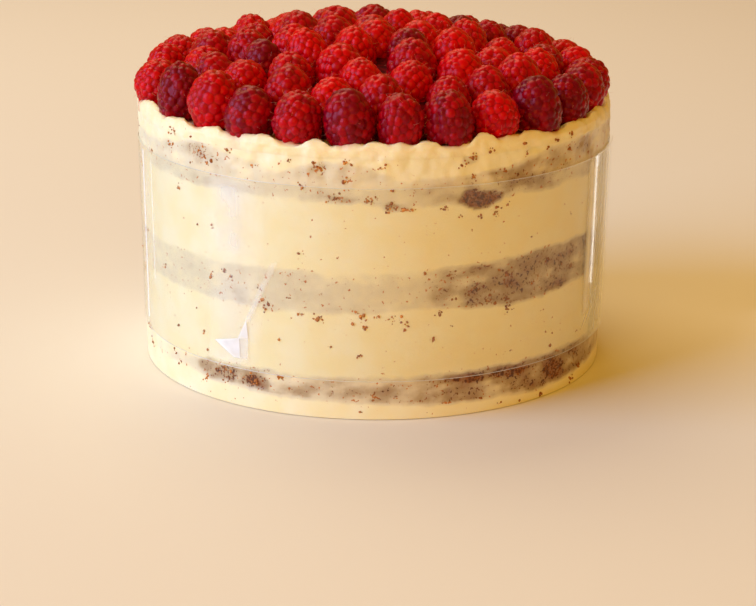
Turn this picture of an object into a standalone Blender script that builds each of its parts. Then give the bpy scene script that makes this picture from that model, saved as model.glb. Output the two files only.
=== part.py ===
"""A round semi-naked layer cake with a crown of raspberries and a clear collar, in metres, +Z up.

The origin is the middle of the base and the front of the cake faces -Y. Three sponge discs and two
cream fillings are stacked up, a thin scraped coat of cream wraps their sides and leaves the sponge
bare in windows, a top cream closes the stack, raspberries stand on it, and a strip of clear film is
wound once round the side.
"""

import math
import random

import bmesh
import bpy
from mathutils import Matrix, Vector
from mathutils.bvhtree import BVHTree

# Driving dimensions of the stack
BASE_RADIUS = 0.0993
TOP_RADIUS = 0.1010
TOP_PLANE = 0.1110
GAP = 0.0003
COAT_THICKNESS = 0.0012

# Where one layer ends and the next begins, from the base up
LAYERS = (
    ("sponge_bottom", 0.0000, 0.0185),
    ("cream_lower", 0.0185, 0.0440),
    ("sponge_middle", 0.0440, 0.0650),
    ("cream_upper", 0.0650, 0.0880),
    ("sponge_top", 0.0880, 0.1060),
)
SIDE_STEPS = 60
STEP_DEGREES = 360 / SIDE_STEPS

# The coat: rows of cream with a band of windows between each two, heights in millimetres.
# A hump is (middle azimuth, half width, rise); azimuth 0 is the front and 90 the right side.
COAT_BOTTOM = 0.0008
COAT_TOP = 0.1083
COAT_EDGES = (
    (6.5, 0.9, ((45, 30, -2.5), (-65, 25, 2.0))),
    (17.8, 0.5, ((42, 34, 1.4),)),
    (43.6, 0.6, ((60, 35, 2.4), (-14, 10, -0.8))),
    (62.0, 0.7, ((42, 34, 3.8), (150, 40, 2.0))),
    (88.8, 0.7, ((10, 24, -1.8), (200, 40, 1.5))),
    (99.5, 1.3, ((-43, 14, 5.5), (-6, 12, 3.5), (60, 25, -1.5), (170, 30, 3.0))),
)
# Stretches, in degrees, where the cream covers each band of windows
COAT_BRIDGES = (
    ((-90, -50), (100, 125), (190, 205)),
    ((-85, -65), (110, 120), (200, 215)),
    ((-35, -20), (70, 85), (140, 155), (225, 245)),
)

# The top cream and its rim, which stands up between the berries
RIM_STEPS = 120
RIM_RISE = 0.0032
RIM_INNER = 0.0945
RIM_CREST = 0.0978
RIM_ROUNDING = 0.0007
RIM_PROBES = (0.3, 0.5, 0.7, 0.85, 1.0, 1.3)
CREAM_LIP = 0.1086

# The raspberries at the front of the rim, from left to right as the photograph shows them.
# Each is (azimuth, distance from the cake's middle, radius, height) in degrees and millimetres.
FRONT_BERRIES = (
    (-80.5, 92.0, 9.7, 17.5),
    (-61.0, 90.5, 9.2, 21.5),
    (-46.0, 89.0, 10.2, 21.5),
    (-32.8, 91.0, 10.0, 19.0),
    (-19.2, 90.5, 9.5, 19.0),
    (-6.2, 90.5, 10.2, 21.0),
    (6.4, 91.0, 9.0, 19.5),
    (18.7, 91.0, 9.7, 20.0),
    (31.8, 90.5, 9.2, 18.0),
    (46.0, 90.5, 10.0, 21.0),
    (60.0, 90.5, 8.8, 18.5),
    (72.6, 90.5, 9.4, 18.5),
    (86.5, 90.5, 9.4, 17.5),
)
# The rest of the rim: how many, and the azimuths of the first and the last
BACK_COUNT = 13
BACK_SPAN = (100.5, 264.0)
BACK_REACH = 0.0900
BACK_RADIUS = (0.0086, 0.0096)
BACK_HEIGHT = (0.0155, 0.0185)
# The rings inside the rim, each (ring radius, how many), on a mound that rises to the middle
BERRY_RINGS = ((0.0720, 21), (0.0535, 15), (0.0355, 10), (0.0178, 5), (0.0, 1))
BERRY_SEED = 10854
BERRY_RADIUS = (0.0088, 0.0099)
BERRY_HEIGHT = (0.0185, 0.0220)
BERRY_TILT = math.radians(11)
MOUND_RISE = 0.0120
MOUND_RADIUS = 0.0905
MOUND_STEPS = 5
BERRY_WIDEST = 0.42
BERRY_SIDES = 8
BERRY_ROWS = (0.0, 0.20, 0.44, 0.68, 0.87)
BERRY_KNOB = 0.05
BERRY_LIFT = 0.0006
BERRY_CLEARANCE = 0.0004
SETTLE_ROUNDS = 80
CORE_RADIUS = 0.0880
CORE_HEIGHT = 0.0075

# The clear collar: an 80 mm strip whose ends overlap on the right side
FILM_LOW = 0.0165
FILM_HIGH = 0.0965
FILM_THICKNESS = 0.0003
FILM_SEAM = 66
FILM_OVERLAP = 20
FILM_LIFT_FROM = 25


def material(name, colour, roughness, alpha=1.0, transmission=0.0):
    """A plain finish in the part's own colour."""
    made = bpy.data.materials.new(name)
    made.use_nodes = True
    shader = made.node_tree.nodes["Principled BSDF"]
    shader.inputs["Base Color"].default_value = (*colour, 1.0)
    shader.inputs["Roughness"].default_value = roughness
    shader.inputs["Metallic"].default_value = 0.0
    shader.inputs["Alpha"].default_value = alpha
    shader.inputs["Transmission Weight"].default_value = transmission
    made.diffuse_color = (*colour, alpha)
    return made


def link(name, mesh, finish):
    """A new object with this mesh and finish, at the origin."""
    made = bpy.data.objects.new(name, mesh)
    mesh.materials.append(finish)
    bpy.context.scene.collection.objects.link(made)
    return made


def to_object(name, bm, finish):
    bmesh.ops.recalc_face_normals(bm, faces=bm.faces)
    mesh = bpy.data.meshes.new(name)
    bm.to_mesh(mesh)
    bm.free()
    return link(name, mesh, finish)


def side_radius(z):
    """Outer radius of the coated cake at a height: it widens a little towards the top."""
    return BASE_RADIUS + (TOP_RADIUS - BASE_RADIUS) * z / TOP_PLANE


def on_side(azimuth, radius, z):
    """The point at this azimuth in degrees: 0 is the front, 90 the right side."""
    turn = math.radians(azimuth)
    return Vector((radius * math.sin(turn), -radius * math.cos(turn), z))


def ring(bm, points):
    return [bm.verts.new(point) for point in points]


def strip(bm, low, high, closed=True):
    """Quads between two rings of as many points."""
    count = len(low) if closed else len(low) - 1
    for i in range(count):
        j = (i + 1) % len(low)
        bm.faces.new((low[i], low[j], high[j], high[i]))


def layer(name, z_low, z_high, finish):
    """One disc of the stack, clear of the coat round it and of the discs below and above it."""
    inset = COAT_THICKNESS + GAP
    floor = z_low if z_low == 0 else z_low + GAP / 2
    roof = z_high - GAP / 2
    bm = bmesh.new()
    bmesh.ops.create_cone(
        bm,
        cap_ends=True,
        segments=SIDE_STEPS,
        radius1=side_radius(floor) - inset,
        radius2=side_radius(roof) - inset,
        depth=roof - floor,
        matrix=Matrix.Translation((0, 0, (floor + roof) / 2)),
    )
    return to_object(name, bm, finish)


def hump(azimuth, middle, half_width):
    """1 at the middle azimuth, falling smoothly to 0 at half_width degrees from it."""
    away = abs((azimuth - middle + 180) % 360 - 180) / half_width
    return math.cos(away * math.pi / 2) ** 2 if away < 1 else 0.0


def coat_edge(azimuth, base, swing, humps):
    """Height of one uneven edge of the coat, in metres."""
    turn = math.radians(azimuth)
    wave = 0.6 * math.sin(5 * turn + base) + 0.4 * math.sin(13 * turn + 2 * base)
    rise = sum(height * hump(azimuth, middle, width) for middle, width, height in humps)
    return (base + swing * wave + rise) / 1000


def bridged(azimuth, stretches):
    """Whether the cell that starts at this azimuth is covered with cream."""
    middle = azimuth + STEP_DEGREES / 2
    return any((middle - start) % 360 < end - start for start, end in stretches)


def cream_coat(finish):
    """The thin scraped coat: full rows of cream, with windows onto the sponge between them."""
    azimuths = [i * STEP_DEGREES for i in range(SIDE_STEPS)]
    heights = [[COAT_BOTTOM] * SIDE_STEPS]
    heights += [[coat_edge(a, *edge) for a in azimuths] for edge in COAT_EDGES]
    heights += [[COAT_TOP] * SIDE_STEPS]
    bm = bmesh.new()
    rows = [
        ring(bm, [on_side(a, side_radius(z), z) for a, z in zip(azimuths, row)])
        for row in heights
    ]
    for k in range(len(rows) - 1):
        stretches = COAT_BRIDGES[k // 2] if k % 2 else ((0, 360),)
        for i, azimuth in enumerate(azimuths):
            if bridged(azimuth, stretches):
                j = (i + 1) % SIDE_STEPS
                bm.faces.new((rows[k][i], rows[k][j], rows[k + 1][j], rows[k + 1][i]))
    coat = to_object("cream_coat", bm, finish)
    thicken = coat.modifiers.new("thickness", "SOLIDIFY")
    thicken.thickness = COAT_THICKNESS
    thicken.offset = -1
    return coat


class Berry:
    """Where one raspberry stands, how large it is and how it leans."""

    def __init__(self, place, radius, height, lean, spin):
        self.place = place
        self.radius = radius
        self.height = height
        self.lean = lean
        self.spin = spin


def mound(distance):
    """How far the heap of berries has risen at this distance from the cake's middle."""
    return MOUND_RISE * max(0.0, 1 - (distance / MOUND_RADIUS) ** 2) ** 1.5


def drawn_berry(draw, azimuth, reach, radii, heights):
    """A berry at this azimuth, uneven in its distance, size, lean and turn."""
    reach += draw.uniform(-0.0015, 0.0015)
    return Berry(
        on_side(azimuth, reach, 0).to_2d(),
        draw.uniform(*radii),
        draw.uniform(*heights),
        (draw.uniform(0, math.tau), draw.uniform(0, BERRY_TILT)),
        draw.uniform(0, math.tau),
    )


def raspberry_places():
    """The front berries, then rings of uneven ones, pushed apart and trimmed until no two touch."""
    draw = random.Random(BERRY_SEED)
    berries = [
        Berry(
            on_side(azimuth, reach / 1000, 0).to_2d(),
            radius / 1000,
            height / 1000,
            (number * 2.4, BERRY_TILT * (number % 3) / 4),
            number * 1.7,
        )
        for number, (azimuth, reach, radius, height) in enumerate(FRONT_BERRIES)
    ]
    first, last = BACK_SPAN
    for k in range(BACK_COUNT):
        azimuth = first + (last - first) * k / (BACK_COUNT - 1) + draw.uniform(-1.5, 1.5)
        berries.append(drawn_berry(draw, azimuth, BACK_REACH, BACK_RADIUS, BACK_HEIGHT))
    fixed = set(berries)
    for ring_radius, count in BERRY_RINGS:
        start = draw.uniform(0, 360)
        for k in range(count):
            azimuth = start + (k + draw.uniform(-0.18, 0.18)) * 360 / count
            berries.append(drawn_berry(draw, azimuth, ring_radius, BERRY_RADIUS, BERRY_HEIGHT))
    pairs = [(one, other) for i, one in enumerate(berries) for other in berries[i + 1:]]
    for _ in range(SETTLE_ROUNDS):
        for one, other in pairs:
            apart = other.place - one.place
            short = (one.radius + other.radius) * (1 + BERRY_KNOB) - apart.length
            if short > 0 and other not in fixed:
                push = apart.normalized() * short / 2
                other.place = other.place + push
                if one not in fixed:
                    one.place = one.place - push
    for one, other in pairs:
        room = (other.place - one.place).length - GAP
        share = room / ((one.radius + other.radius) * (1 + BERRY_KNOB))
        if share < 1:
            one.radius *= share
            other.radius *= share
    return berries


def berry_mesh(berry):
    """A closed knobbly dome: rows of points turned half a step from each other, and a blunt tip."""
    bm = bmesh.new()
    rows = []
    for row, share in enumerate(BERRY_ROWS):
        span = BERRY_WIDEST / 0.6 if share < BERRY_WIDEST else 1 - BERRY_WIDEST
        width = math.sqrt(1 - ((share - BERRY_WIDEST) / span) ** 2) * berry.radius
        points = []
        for k in range(BERRY_SIDES):
            knob = 1 + (BERRY_KNOB if k % 2 else -BERRY_KNOB)
            turn = (k + 0.5 * (row % 2)) * math.tau / BERRY_SIDES + berry.spin
            points.append(
                (
                    width * knob * math.cos(turn),
                    width * knob * math.sin(turn),
                    share * berry.height,
                )
            )
        rows.append(ring(bm, points))
    for low, high in zip(rows, rows[1:]):
        strip(bm, low, high)
    tip = bm.verts.new((0, 0, berry.height))
    for k in range(BERRY_SIDES):
        bm.faces.new((rows[-1][k], rows[-1][(k + 1) % BERRY_SIDES], tip))
    bm.faces.new(reversed(rows[0]))
    heading, lean = berry.lean
    tilt_axis = (math.cos(heading), math.sin(heading), 0)
    bmesh.ops.rotate(
        bm,
        cent=(0, 0, BERRY_WIDEST * berry.height),
        matrix=Matrix.Rotation(lean, 3, tilt_axis),
        verts=bm.verts,
    )
    lowest = min(vert.co.z for vert in bm.verts)
    foot = TOP_PLANE + GAP + BERRY_LIFT + mound(berry.place.length)
    stand = Vector((*berry.place, foot - lowest))
    bmesh.ops.translate(bm, vec=stand, verts=bm.verts)
    return bm


def stand_berries(finish):
    """Every berry in its place, as an object of its own in one collection."""
    crown = bpy.data.collections.new("crown")
    bpy.context.scene.collection.children.link(crown)
    for number, berry in enumerate(raspberry_places()):
        one = to_object(f"berry_{number}", berry_mesh(berry), finish)
        bpy.context.scene.collection.objects.unlink(one)
        crown.objects.link(one)
    return crown


def raspberries(crown, finish):
    """The berries as one heap: a mound for a core, with every berry of the crown fused onto it."""
    foot = TOP_PLANE + GAP
    sides = SIDE_STEPS // 2
    azimuths = [i * 360 / sides for i in range(sides)]
    bm = bmesh.new()
    rings = [ring(bm, [on_side(a, CORE_RADIUS, foot) for a in azimuths])]
    for step in range(MOUND_STEPS):
        radius = CORE_RADIUS * (1 - step / MOUND_STEPS)
        roof = foot + CORE_HEIGHT + mound(radius)
        rings.append(ring(bm, [on_side(a, radius, roof) for a in azimuths]))
    for low, high in zip(rings, rings[1:]):
        strip(bm, low, high)
    bm.faces.new(reversed(rings[0]))
    middle = bm.verts.new((0, 0, foot + CORE_HEIGHT + mound(0)))
    for i in range(sides):
        bm.faces.new((rings[-1][i], rings[-1][(i + 1) % sides], middle))
    heap = to_object("raspberries", bm, finish)
    fuse = heap.modifiers.new("fuse", "BOOLEAN")
    fuse.operation = "UNION"
    fuse.operand_type = "COLLECTION"
    fuse.collection = crown
    bpy.context.view_layer.objects.active = heap
    bpy.ops.object.modifier_apply(modifier=fuse.name)
    for one in list(crown.objects):
        bpy.data.objects.remove(one)
    bpy.data.collections.remove(crown)
    return heap


def cream_top(crown, finish):
    """The top cream: flat under the berries, with a rim that swells up wherever no berry presses."""
    step = 360 / RIM_STEPS
    azimuths = [i * step for i in range(RIM_STEPS)]
    outer = side_radius(TOP_PLANE)
    tucked = side_radius(LAYERS[-1][2]) - COAT_THICKNESS - GAP
    surfaces = [
        BVHTree.FromPolygons(
            [vert.co for vert in berry.data.vertices],
            [face.vertices for face in berry.data.polygons],
        )
        for berry in crown.objects
    ]

    def crest(azimuth, radius):
        """As high as the swell, or as the berries within one step to either side allow."""
        swell = 0.75 + 0.25 * math.sin(math.radians(azimuth) * 11 + 1.2)
        rise = RIM_RISE * swell
        for aside in (-step, -step / 2, 0, step / 2, step):
            for share in RIM_PROBES:
                reach = RIM_INNER + share * (radius - RIM_INNER)
                below = on_side(azimuth + aside, reach, 0)
                for surface in surfaces:
                    hit = surface.ray_cast(below, Vector((0, 0, 1)))[0]
                    if hit:
                        rise = min(rise, (hit.z - BERRY_CLEARANCE - TOP_PLANE) / min(share, 1))
        return TOP_PLANE + rise

    def level(radius, z):
        return [on_side(a, radius, z) for a in azimuths]

    def uneven(radius, drop=0.0):
        return [on_side(a, radius, crest(a, radius) - drop) for a in azimuths]

    bm = bmesh.new()
    rings = [
        ring(bm, points)
        for points in (
            level(tucked, LAYERS[-1][2] + GAP / 2),
            level(tucked, CREAM_LIP),
            level(side_radius(CREAM_LIP), CREAM_LIP),
            uneven(outer - RIM_ROUNDING / 2, RIM_ROUNDING),
            uneven(RIM_CREST),
            level(RIM_INNER, TOP_PLANE),
        )
    ]
    for low, high in zip(rings, rings[1:]):
        strip(bm, low, high)
    bm.faces.new(reversed(rings[0]))
    bm.faces.new(rings[-1])
    return to_object("cream_top", bm, finish)


def film_collar(finish):
    """A strip of clear film wound once round the side, its outer end lifting a little over its inner end."""
    turns = int((360 + FILM_OVERLAP) / STEP_DEGREES)
    bm = bmesh.new()
    low, high = [], []
    for i in range(turns + 1):
        along = i * STEP_DEGREES
        lift = max(0.0, (along - 360 + FILM_LIFT_FROM) / (FILM_LIFT_FROM + FILM_OVERLAP))
        spread = GAP + FILM_THICKNESS + lift * (FILM_THICKNESS + 3 * GAP)
        for row, z in ((low, FILM_LOW), (high, FILM_HIGH)):
            row.append(bm.verts.new(on_side(FILM_SEAM + along, side_radius(z) + spread, z)))
    strip(bm, low, high, closed=False)
    film = to_object("film_collar", bm, finish)
    thicken = film.modifiers.new("thickness", "SOLIDIFY")
    thicken.thickness = FILM_THICKNESS
    thicken.offset = -1
    return film


def build():
    for old in list(bpy.data.objects):
        bpy.data.objects.remove(old)
    sponge = material("sponge", (0.52, 0.31, 0.14), 0.85)
    cream = material("cream", (0.90, 0.80, 0.58), 0.45)
    coat = material("scraped_cream", (0.87, 0.78, 0.59), 0.40)
    berry_red = material("raspberry", (0.50, 0.015, 0.03), 0.35)
    clear = material("clear_film", (0.95, 0.96, 0.96), 0.05, alpha=0.25, transmission=1.0)
    for name, z_low, z_high in LAYERS:
        layer(name, z_low, z_high, sponge if name.startswith("sponge") else cream)
    cream_coat(coat)
    crown = stand_berries(berry_red)
    cream_top(crown, cream)
    raspberries(crown, berry_red)
    film_collar(clear)


build()
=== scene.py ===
# %% [markdown]
# # A raspberry layer cake in a clear collar
# This lesson dresses a round layer cake: sponge and cream, scraped thin at the side so that the sponge
# shows through, a crown of raspberries, and a strip of clear film round it all. A solid model of the
# same cake is loaded first. It stays the measure of everything, so each new piece is made where its
# solid already stands, and nothing has to be fitted afterwards.

import math
import random

import bpy
import numpy as np
from mathutils import Euler, Matrix, Vector, noise
from mathutils.kdtree import KDTree


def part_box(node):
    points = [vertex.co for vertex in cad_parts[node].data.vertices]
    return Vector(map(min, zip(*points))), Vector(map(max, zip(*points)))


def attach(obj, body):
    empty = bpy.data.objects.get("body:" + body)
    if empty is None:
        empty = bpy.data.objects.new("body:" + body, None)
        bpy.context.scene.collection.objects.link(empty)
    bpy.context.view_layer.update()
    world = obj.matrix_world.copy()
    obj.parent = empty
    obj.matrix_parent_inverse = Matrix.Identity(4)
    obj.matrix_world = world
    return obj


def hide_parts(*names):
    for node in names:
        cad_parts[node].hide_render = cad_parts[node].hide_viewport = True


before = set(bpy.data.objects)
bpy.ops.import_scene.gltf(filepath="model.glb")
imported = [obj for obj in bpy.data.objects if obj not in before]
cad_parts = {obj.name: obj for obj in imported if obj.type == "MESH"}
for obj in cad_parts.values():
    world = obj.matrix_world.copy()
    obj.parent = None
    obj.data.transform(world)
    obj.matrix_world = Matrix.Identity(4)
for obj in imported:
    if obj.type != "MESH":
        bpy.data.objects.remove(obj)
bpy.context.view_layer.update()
print("solid pieces:", ", ".join(sorted(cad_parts)))

# %% [markdown]
# ## Measuring the cake
# A cake is turned, so nearly every place on it is an azimuth, a radius and a height. The radii come from
# the solids' boxes. The side widens a little towards the top, so its radius is a straight line between
# two measured heights. Azimuth 0 is the front and 90 the right side.

# %% Sizes read from the solids
GAP = 0.0003
COAT_THICKNESS = 0.0012
MM = 0.001

low_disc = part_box("sponge_bottom")[1]
coat_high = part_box("cream_coat")[1]
film_low, film_high = (corner.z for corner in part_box("film_collar"))
top_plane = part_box("raspberries")[0].z - GAP
low_radius = low_disc.x + COAT_THICKNESS + GAP
flare = (coat_high.x - low_radius) / (coat_high.z - low_disc.z)


def side_radius(z):
    """Outer radius of the coated cake at this height."""
    return low_radius + flare * (z - low_disc.z)


print(f"side radius {side_radius(0):.4f} to {side_radius(top_plane):.4f}, top plane {top_plane:.4f}")

# %% [markdown]
# ## The camera
# The cake is seen from a little above through a fairly long lens. The height, the distance and the lens
# were worked out from the ellipses that the cake's circles make. A camera looks down its own -Z, so it
# is pitched up from straight down, turned about Z, and rolled about its own axis last. The Standard view
# keeps the reds of the berries full; Blender's default one would wash them out.

# %% Set the camera
CAMERA_AWAY = 0.95
CAMERA_HEIGHT = 0.3169
CAMERA_DOWN = 17.45
CAMERA_TURN = -0.14
CAMERA_ROLL = 0.48
FRAME_WIDTH = 756
FOCAL_PIXELS = 2255

bpy.ops.object.camera_add(location=(0, -CAMERA_AWAY, CAMERA_HEIGHT))
camera = bpy.context.object
turns = (
    Matrix.Rotation(math.radians(CAMERA_TURN), 3, "Z")
    @ Matrix.Rotation(math.radians(90 - CAMERA_DOWN), 3, "X")
    @ Matrix.Rotation(math.radians(CAMERA_ROLL), 3, "Z")
)
camera.rotation_euler = turns.to_euler()
camera.data.sensor_width = 36
camera.data.lens = camera.data.sensor_width * FOCAL_PIXELS / FRAME_WIDTH
bpy.context.scene.camera = camera
bpy.context.scene.view_settings.view_transform = "Standard"
print(f"lens {camera.data.lens:.1f} mm")

# %% [markdown]
# ## Light and floor
# The cake stands by a window in a room with golden light. Cool soft daylight comes from the left, and
# the right side falls into warm shade. A large area lamp three metres off is the window, a warm one and
# the sky colour are the room, and a weak lamp high behind lights the tips of the berries. A small white
# card stands low at the right, only for the clear film to mirror: the camera doesn't see it, and it adds
# nothing to the light on matt surfaces. The floor is plain, pale and so wide that its edge never shows.


# %% Lamps, sky and floor
CAKE_MIDDLE = Vector((0, 0, 0.07))
FLOOR_WIDTH = 24


def area_lamp(name, azimuth, elevation, away, size, power, tint):
    """A soft lamp that looks at the middle of the cake from this direction."""
    turn, lift = math.radians(azimuth), math.radians(elevation)
    back = Vector(
        (math.sin(turn) * math.cos(lift), -math.cos(turn) * math.cos(lift), math.sin(lift))
    )
    bpy.ops.object.light_add(type="AREA", location=CAKE_MIDDLE + back * away)
    lamp = bpy.context.object
    lamp.name = name
    lamp.rotation_euler = back.to_track_quat("Z", "Y").to_euler()
    lamp.data.shape = "RECTANGLE"
    lamp.data.size, lamp.data.size_y = size
    lamp.data.energy = power
    lamp.data.color = tint
    return lamp


area_lamp("window", -68, 23, 3.0, (2.2, 2.4), 110, (0.39, 0.63, 1.04))
area_lamp("front", -8, 25, 1.5, (1.0, 1.0), 6.3, (1.0, 0.60, 0.08))
area_lamp("top_fill", -150, 55, 1.5, (1.2, 1.0), 9, (1.0, 0.86, 0.60))
card = area_lamp("card", 105, 0, 0.193, (0.012, 0.10), 0.0075, (1.0, 0.96, 0.90))
card.location.z = 0.042
card.rotation_euler.z += math.radians(28)
card.visible_camera = False
card.visible_diffuse = False

world = bpy.data.worlds.new("sky")
world.use_nodes = True
sky = world.node_tree.nodes["Background"]
sky.inputs["Color"].default_value = (1.0, 0.51, 0.07, 1)
sky.inputs["Strength"].default_value = 0.42
bpy.context.scene.world = world

bpy.ops.mesh.primitive_plane_add(size=FLOOR_WIDTH)
floor = bpy.context.object
floor.name = "floor"
floor_finish = bpy.data.materials.new("floor_finish")
floor_finish.use_nodes = True
floor_shader = floor_finish.node_tree.nodes["Principled BSDF"]
floor_shader.inputs["Base Color"].default_value = (0.88, 0.82, 0.69, 1)
floor_shader.inputs["Roughness"].default_value = 0.7
floor.data.materials.append(floor_finish)

# %% [markdown]
# ## Writing shaders as formulas
# A finish is a graph of nodes, and a long graph is hard to read in code. One small class wraps a socket,
# so that `+`, `-`, `*` and `**` add Math nodes by themselves, and one method makes any other node.


# %% A socket that can be calculated with
class Wire:
    """One output socket of a material's node tree."""

    def __init__(self, socket):
        self.socket = socket

    def make(self, kind, settings=None, inputs=None, output=0):
        """A new node of this kind in the same tree; its settings first, then its inputs."""
        made = self.socket.id_data.nodes.new(kind)
        for name, value in (settings or {}).items():
            setattr(made, name, value)
        for name, value in (inputs or {}).items():
            if isinstance(value, Wire):
                self.socket.id_data.links.new(value.socket, made.inputs[name])
            else:
                made.inputs[name].default_value = value
        return Wire(made.outputs[output])

    def maths(self, operation, *values):
        return self.make("ShaderNodeMath", {"operation": operation}, dict(enumerate(values)))

    def __add__(self, other):
        return self.maths("ADD", self, other)

    def __sub__(self, other):
        return self.maths("SUBTRACT", self, other)

    def __rsub__(self, other):
        return self.maths("SUBTRACT", other, self)

    def __mul__(self, other):
        return self.maths("MULTIPLY", self, other)

    def __pow__(self, other):
        return self.maths("POWER", self, other)

    __radd__ = __add__
    __rmul__ = __mul__

    def step(self, low, high):
        """0 below low, 1 above high, and a soft slope between them."""
        return self.make(
            "ShaderNodeMapRange",
            {"interpolation_type": "SMOOTHSTEP"},
            {"Value": self, "From Min": low, "From Max": high},
        )

    def mix(self, first, second):
        """A colour: the first where this is 0, the second where it is 1."""
        return self.make(
            "ShaderNodeMix", {"data_type": "RGBA"}, {0: self, 6: first, 7: second}, 2
        )

    def clouds(self, size, detail=3.0, stretch=(1, 1, 1)):
        """Noise from 0 to 1 with lumps of this size in metres; self is the place."""
        place = self.make(
            "ShaderNodeVectorMath", {"operation": "MULTIPLY"}, {0: self, 1: stretch}
        )
        return self.make(
            "ShaderNodeTexNoise", inputs={"Vector": place, "Scale": 1 / size, "Detail": detail}
        )

    def attribute(self, name):
        """A value that was stored on the mesh's points."""
        return self.make("ShaderNodeAttribute", {"attribute_name": name}, output=2)

    def bump(self, height, strength, distance):
        return self.make(
            "ShaderNodeBump",
            inputs={"Height": height, "Strength": strength, "Distance": distance},
        )


# %% Starting a finish
def colour(red, green, blue):
    """A shader colour from the 0 to 255 numbers that a colour picker shows."""
    channels = (red / 255, green / 255, blue / 255)
    linear = [((c + 0.055) / 1.055) ** 2.4 if c > 0.04045 else c / 12.92 for c in channels]
    return (*linear, 1.0)


def new_finish(name):
    """A new material: its shader node, and the object's own coordinates as a wire."""
    finish = bpy.data.materials.new(name)
    finish.use_nodes = True
    shader = finish.node_tree.nodes["Principled BSDF"]
    coordinates = finish.node_tree.nodes.new("ShaderNodeTexCoord")
    return finish, shader, Wire(coordinates.outputs["Object"])


def feed(shader, **values):
    """Fills the shader's sockets; an underscore stands for the space in a socket's name."""
    for name, value in values.items():
        socket = shader.inputs[name.replace("_", " ")]
        if isinstance(value, Wire):
            socket.id_data.links.new(value.socket, socket)
        else:
            socket.default_value = value


print("colour(255, 128, 0) is", [round(c, 3) for c in colour(255, 128, 0)])

# %% [markdown]
# ## The sponge and the fillings
# Under the scraped coat the cake is three sponges and two layers of cream. Their solids already have the
# right shape, so they only get a finish. Sponge is a golden crumb full of small holes: noise at two sizes
# colours it, and the same noise drives a bump. The holes are dark brown as painted shade inside them.
# Buttercream is smooth and lets a little light in.


# %% Finishes for sponge and filling
def sponge_finish():
    finish, shader, place = new_finish("sponge_crumb")
    holes = place.clouds(0.0012, 4).step(0.42, 0.60)
    patches = place.clouds(0.006)
    crumb = patches.step(0.35, 0.65).mix(colour(168, 108, 62), colour(204, 148, 88))
    feed(
        shader,
        # The holes are painted shade: dark brown where the crumb is recessed.
        Base_Color=holes.mix(colour(104, 58, 30), crumb),
        Roughness=0.85,
        Normal=place.bump(holes, 0.7, 0.0006),
    )
    return finish


def filling_finish():
    finish, shader, place = new_finish("buttercream")
    streaks = place.clouds(0.004, 3, (1, 1, 4))
    feed(
        shader,
        Base_Color=streaks.step(0.3, 0.7).mix(colour(250, 232, 184), colour(253, 240, 204)),
        Roughness=0.42,
        Normal=place.bump(streaks, 0.25, 0.0005),
    )
    return finish


sponge_crumb = sponge_finish()
buttercream = filling_finish()
for name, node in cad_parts.items():
    if name.startswith("sponge"):
        node.material_slots[0].material = sponge_crumb
    elif name in ("cream_lower", "cream_upper"):
        node.material_slots[0].material = buttercream
print("dressed", len([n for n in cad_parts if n.startswith("sponge")]), "sponges")

# %% [markdown]
# ## Turning a section into a ring
# The coat, the top cream and the film are all turned shapes. Each starts as a circle whose points are
# moved onto the outline of its cross-section, and the Spin tool carries that outline round the cake.
# The doubled points where the turn closes are merged, and the faces are made to point outwards.


# %% A helper that spins a section
def deselect():
    bpy.ops.object.select_all(action="DESELECT")


def turned(name, section, steps, open_edge=None):
    """A ring from a closed outline of (radius, height) points; open_edge is left out of it."""
    deselect()
    bpy.ops.mesh.primitive_circle_add(vertices=len(section), fill_type="NOTHING")
    made = bpy.context.object
    made.name = made.data.name = name
    for vert, (radius, z) in zip(made.data.vertices, section):
        vert.co = (radius, 0, z)
    if open_edge is not None:
        for edge in made.data.edges:
            edge.select = set(edge.vertices) == set(open_edge)
        for vert in made.data.vertices:
            vert.select = vert.index in open_edge
        bpy.ops.object.mode_set(mode="EDIT")
        bpy.ops.mesh.select_mode(type="EDGE")
        bpy.ops.mesh.delete(type="EDGE")
        bpy.ops.mesh.select_mode(type="VERT")
    else:
        bpy.ops.object.mode_set(mode="EDIT")
    bpy.ops.mesh.select_all(action="SELECT")
    bpy.ops.mesh.spin(steps=steps, angle=math.tau, center=(0, 0, 0), axis=(0, 0, 1))
    bpy.ops.mesh.select_all(action="SELECT")
    bpy.ops.mesh.remove_doubles(threshold=0.00002)
    bpy.ops.mesh.normals_make_consistent(inside=False)
    bpy.ops.object.mode_set(mode="OBJECT")
    return made


def points_of(piece):
    """All the mesh's points as rows of x, y, z."""
    flat = np.empty(len(piece.data.vertices) * 3)
    piece.data.vertices.foreach_get("co", flat)
    return flat.reshape(-1, 3)


def move_points(piece, points):
    piece.data.vertices.foreach_set("co", points.ravel())
    piece.data.update()


def store(piece, name, values):
    """Keeps one value for each point, for a finish to read."""
    made = piece.data.attributes.new(name, "FLOAT", "POINT")
    made.data.foreach_set("value", np.asarray(values, np.float32))


def wrap(azimuth):
    return (azimuth + 180) % 360 - 180


def round_places(points):
    """Azimuth in degrees, radius and height of each point."""
    azimuth = np.degrees(np.arctan2(points[:, 0], -points[:, 1]))
    return azimuth, np.hypot(points[:, 0], points[:, 1]), points[:, 2]


def with_radius(points, radius):
    """The same points at the same azimuths and heights, but at these radii."""
    scale = radius / np.hypot(points[:, 0], points[:, 1])
    return np.column_stack((points[:, 0] * scale, points[:, 1] * scale, points[:, 2]))


# %% Soft steps and lumps for arrays
def soft_step(low, high, values):
    share = np.clip((values - low) / (high - low), 0, 1)
    return share * share * (3 - 2 * share)


def lumps(points, size, octaves=3, stretch=(1, 1, 1), shift=0.0):
    """Smooth noise of about -1 to 1 whose lumps are this many metres across."""
    places = points * np.array(stretch) / size + shift
    return np.array([noise.fractal(place, 1.0, 2.0, octaves) for place in places])


print("lumps at one place:", round(float(lumps(np.array([[0.1, 0.0, 0.05]]), 0.01)[0]), 3))

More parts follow.
